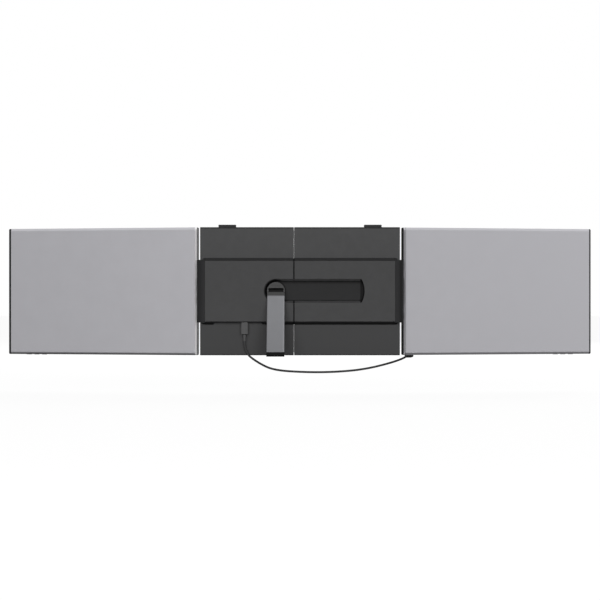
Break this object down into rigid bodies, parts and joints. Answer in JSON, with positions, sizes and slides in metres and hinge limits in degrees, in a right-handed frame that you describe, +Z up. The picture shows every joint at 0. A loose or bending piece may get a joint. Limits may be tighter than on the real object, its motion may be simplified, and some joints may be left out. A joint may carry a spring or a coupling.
{
  "type": "laptop screen extender",
  "caption": "Laptop screen extender: telescoping rear frame with lid hooks, two fold-out side displays, a swivelling kickstand and a plugged-in cable.",
  "frame": {"origin": "middle of the flat front face of the centre frame, which lies on the back of the laptop's lid", "axes": "+X to the right seen from behind the laptop, +Y out of the lid face towards the user, +Z up"},
  "size_m": [0.9555, 0.2269, 0.239],
  "materials": {
    "frame_shell": "fine matte texture",
    "hinge_shell": "satin",
    "hinge_steel": "zinc plated",
    "slide_steel": "rolled sheet",
    "tray_plastic": "matte",
    "circuit_board": "solder mask",
    "socket_steel": "nickel plated",
    "stand_plastic": "matte",
    "leg_aluminium": "bead blasted and anodised",
    "foot_rubber": "moulded",
    "cover_aluminium": "bead blasted and anodised grey",
    "bezel_plastic": "fine matte",
    "screen_glass": "display, switched off",
    "key_plastic": "satin",
    "hook_plastic": "matte",
    "plug_rubber": "soft touch",
    "cord_jacket": "satin jacket"
  },
  "bodies": {
    "left_half": {"left_plate": "frame_shell", "left_housing": "frame_shell", "left_hinge_cover": "hinge_shell", "left_hinge_bracket": "hinge_steel", "left_hinge_pins": "hinge_steel", "slide_plate": "slide_steel", "stow_tray": "tray_plastic", "tray_posts": "tray_plastic", "hub_board": "circuit_board", "hub_posts": "tray_plastic", "data_socket": "socket_steel", "power_socket": "socket_steel", "near_plug_nose": "socket_steel", "near_plug": "plug_rubber", "near_relief": "plug_rubber", "cord": "cord_jacket", "far_relief": "plug_rubber", "far_plug": "plug_rubber", "far_plug_nose": "socket_steel"},
    "right_half": {"right_plate": "frame_shell", "right_housing": "frame_shell", "right_hinge_cover": "hinge_shell", "right_hinge_bracket": "hinge_steel", "right_hinge_pins": "hinge_steel"},
    "left_wing": {"left_back_cover": "cover_aluminium", "left_screen_frame": "bezel_plastic", "left_screen_panel": "screen_glass", "left_hinge_leaf": "hinge_steel", "left_driver_board": "circuit_board"},
    "right_wing": {"right_back_cover": "cover_aluminium", "right_screen_frame": "bezel_plastic", "right_screen_panel": "screen_glass", "right_hinge_leaf": "hinge_steel", "right_driver_board": "circuit_board"},
    "stand_turntable": {"stand_head": "stand_plastic", "stand_clip": "hinge_steel", "stand_pin": "hinge_steel"},
    "stand_leg": {"leg_knuckle": "stand_plastic", "leg_blade": "leg_aluminium", "leg_foot": "foot_rubber"},
    "left_lid_hook": {"left_hook": "hook_plastic", "left_hook_pad": "foot_rubber"},
    "right_lid_hook": {"right_hook": "hook_plastic", "right_hook_pad": "foot_rubber"},
    "left_power_key_cap": {"left_power_key": "key_plastic"},
    "left_plus_key_cap": {"left_plus_key": "key_plastic"},
    "left_minus_key_cap": {"left_minus_key": "key_plastic"},
    "right_power_key_cap": {"right_power_key": "key_plastic"},
    "right_plus_key_cap": {"right_plus_key": "key_plastic"},
    "right_minus_key_cap": {"right_minus_key": "key_plastic"}
  },
  "joints": [
    {"name": "frame_slide", "type": "slide", "parent": "left_half", "child": "right_half", "axis": [1, 0, 0], "range_m": [0, 0.075]},
    {"name": "left_wing_fold", "type": "hinge", "parent": "left_half", "child": "left_wing", "pos_m": [-0.1626, 0.00475, 0], "axis": [0, 0, -1], "range_deg": [-12.5, 167.5]},
    {"name": "right_wing_fold", "type": "hinge", "parent": "right_half", "child": "right_wing", "pos_m": [0.1626, 0.01305, 0], "axis": [0, 0, 1], "range_deg": [-12.5, 167.5]},
    {"name": "stand_swivel", "type": "hinge", "parent": "left_half", "child": "stand_turntable", "pos_m": [-0.0383, -0.016, 0.0005], "axis": [0, -1, 0], "range_deg": [0, 90]},
    {"name": "leg_tilt", "type": "hinge", "parent": "stand_turntable", "child": "stand_leg", "pos_m": [-0.0383, -0.016, 0.0005], "axis": [-1, 0, 0], "range_deg": [-13, 22.6]},
    {"name": "left_hook_slide", "type": "slide", "parent": "left_half", "child": "left_lid_hook", "axis": [0, 0, 1], "range_m": [0, 0.028]},
    {"name": "right_hook_slide", "type": "slide", "parent": "right_half", "child": "right_lid_hook", "axis": [0, 0, 1], "range_m": [0, 0.028]},
    {"name": "left_power_key_press", "type": "slide", "parent": "left_wing", "child": "left_power_key_cap", "axis": [0, 0, 1], "range_m": [0, 0.0005], "stiffness_N_per_m": 400, "springref_m": -0.0005},
    {"name": "left_plus_key_press", "type": "slide", "parent": "left_wing", "child": "left_plus_key_cap", "axis": [0, 0, 1], "range_m": [0, 0.0005], "stiffness_N_per_m": 400, "springref_m": -0.0005},
    {"name": "left_minus_key_press", "type": "slide", "parent": "left_wing", "child": "left_minus_key_cap", "axis": [0, 0, 1], "range_m": [0, 0.0005], "stiffness_N_per_m": 400, "springref_m": -0.0005},
    {"name": "right_power_key_press", "type": "slide", "parent": "right_wing", "child": "right_power_key_cap", "axis": [0, 0, 1], "range_m": [0, 0.0005], "stiffness_N_per_m": 400, "springref_m": -0.0005},
    {"name": "right_plus_key_press", "type": "slide", "parent": "right_wing", "child": "right_plus_key_cap", "axis": [0, 0, 1], "range_m": [0, 0.0005], "stiffness_N_per_m": 400, "springref_m": -0.0005},
    {"name": "right_minus_key_press", "type": "slide", "parent": "right_wing", "child": "right_minus_key_cap", "axis": [0, 0, 1], "range_m": [0, 0.0005], "stiffness_N_per_m": 400, "springref_m": -0.0005}
  ]
}
